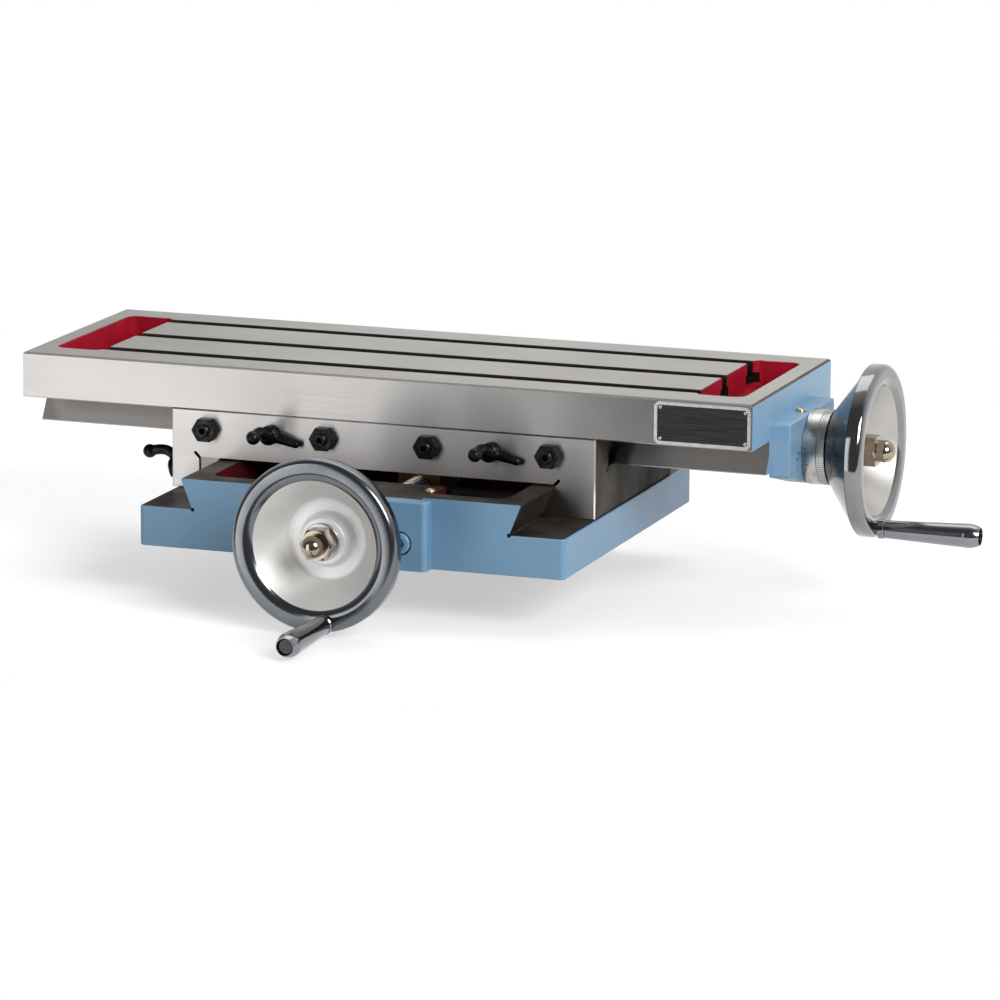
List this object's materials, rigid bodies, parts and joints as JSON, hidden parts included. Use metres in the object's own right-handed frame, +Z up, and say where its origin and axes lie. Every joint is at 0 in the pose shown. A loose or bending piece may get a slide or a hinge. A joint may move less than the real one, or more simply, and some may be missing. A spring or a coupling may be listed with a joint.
{
  "type": "cross slide table",
  "caption": "Cross slide table: a T-slotted table and saddle on dovetail ways, moved by two handwheel screws with dials and locks.",
  "frame": {"origin": "centre of the base's four bench-bolt holes, on its underside", "axes": "+X along the table's travel, towards its handwheel; +Y away from the operator, along the saddle's travel; +Z up, square to the table top"},
  "size_m": [0.7348, 0.4518, 0.1825],
  "materials": {
    "blue_paint": "semi-gloss machine enamel on cast iron",
    "ground_iron": "ground grey iron, lightly oiled",
    "steel": "turned steel",
    "satin_steel": "satin turned steel with engraved lines",
    "chrome": "polished chrome with a satin bowl",
    "brass": "turned brass",
    "bronze": "cast bronze",
    "black_oxide": "black oxide steel",
    "plate": "aluminium sheet with a dark bare panel"
  },
  "bodies": {
    "base": {"base": "blue_paint", "cross_bearing_plate": "blue_paint", "cross_plate_screws": "black_oxide", "base_oil_cup": "brass", "cross_screw_bush": "bronze", "cross_thrust_bearings": "steel"},
    "cross_drive": {"cross_screw": "steel", "cross_handwheel": "chrome", "cross_wheel_key": "steel", "cross_wheel_washer": "steel", "cross_wheel_nut": "brass", "cross_handle_spindle": "chrome"},
    "cross_dial": {"cross_dial": "satin_steel"},
    "cross_grip": {"cross_handle_grip": "chrome"},
    "saddle": {"saddle": "ground_iron", "table_gib": "ground_iron", "table_gib_screws": "black_oxide", "table_gib_locknuts": "black_oxide", "table_lock_plugs": "brass", "cross_gib": "ground_iron", "cross_gib_screws": "black_oxide", "cross_gib_locknuts": "black_oxide", "cross_lock_plug": "brass", "cross_nut": "bronze", "cross_nut_screws": "black_oxide", "long_nut": "bronze", "long_nut_screws": "black_oxide"},
    "table_lock_left": {"table_lock_lever_left": "black_oxide"},
    "table_lock_right": {"table_lock_lever_right": "black_oxide"},
    "cross_lock": {"cross_lock_lever": "black_oxide"},
    "table": {"table": "ground_iron", "table_end_bracket": "blue_paint", "bracket_screws": "black_oxide", "bracket_oil_cup": "brass", "name_plate": "plate", "long_screw_bush": "bronze", "long_thrust_bearings": "steel"},
    "long_drive": {"long_screw": "steel", "long_handwheel": "chrome", "long_wheel_key": "steel", "long_wheel_washer": "steel", "long_wheel_nut": "brass", "long_handle_spindle": "chrome"},
    "long_dial": {"long_dial": "satin_steel"},
    "long_grip": {"long_handle_grip": "chrome"}
  },
  "joints": [
    {"name": "saddle_slide", "type": "slide", "parent": "base", "child": "saddle", "axis": [0, 1, 0], "range_m": [-0.084, 0.076]},
    {"name": "cross_screw_turn", "type": "hinge", "parent": "base", "child": "cross_drive", "pos_m": [0, -0.224, 0.027], "axis": [0, -1, 0], "range_deg": [-5473, 6049]},
    {"name": "cross_dial_turn", "type": "hinge", "parent": "cross_drive", "child": "cross_dial", "pos_m": [0, -0.176, 0.027], "axis": [0, -1, 0], "continuous": true},
    {"name": "cross_grip_spin", "type": "hinge", "parent": "cross_drive", "child": "cross_grip", "pos_m": [0.00907, -0.224, -0.03029], "axis": [0, -1, 0], "continuous": true},
    {"name": "table_lock_left_turn", "type": "hinge", "parent": "saddle", "child": "table_lock_left", "pos_m": [-0.0915, -0.076, 0.0767], "axis": [0, -1, 0], "range_deg": [-75, 0]},
    {"name": "table_lock_right_turn", "type": "hinge", "parent": "saddle", "child": "table_lock_right", "pos_m": [0.0855, -0.076, 0.0767], "axis": [0, -1, 0], "range_deg": [-75, 0]},
    {"name": "cross_lock_turn", "type": "hinge", "parent": "saddle", "child": "cross_lock", "pos_m": [-0.173, -0.032, 0.0426], "axis": [-1, 0, 0], "range_deg": [-75, 0]},
    {"name": "table_slide", "type": "slide", "parent": "saddle", "child": "table", "axis": [1, 0, 0], "range_m": [-0.118, 0.122]},
    {"name": "long_screw_turn", "type": "hinge", "parent": "table", "child": "long_drive", "pos_m": [0.3605, 0.024, 0.078], "axis": [1, 0, 0], "range_deg": [-8497, 8785]},
    {"name": "long_dial_turn", "type": "hinge", "parent": "long_drive", "child": "long_dial", "pos_m": [0.313, 0.024, 0.078], "axis": [1, 0, 0], "continuous": true},
    {"name": "long_grip_spin", "type": "hinge", "parent": "long_drive", "child": "long_grip", "pos_m": [0.3605, 0.01593, 0.02056], "axis": [1, 0, 0], "continuous": true}
  ],
  "couplings": [
    {"joint": "cross_screw_turn", "follows": "saddle_slide", "rad_per_m": -1256.6},
    {"joint": "long_screw_turn", "follows": "table_slide", "rad_per_m": 1256.6}
  ]
}
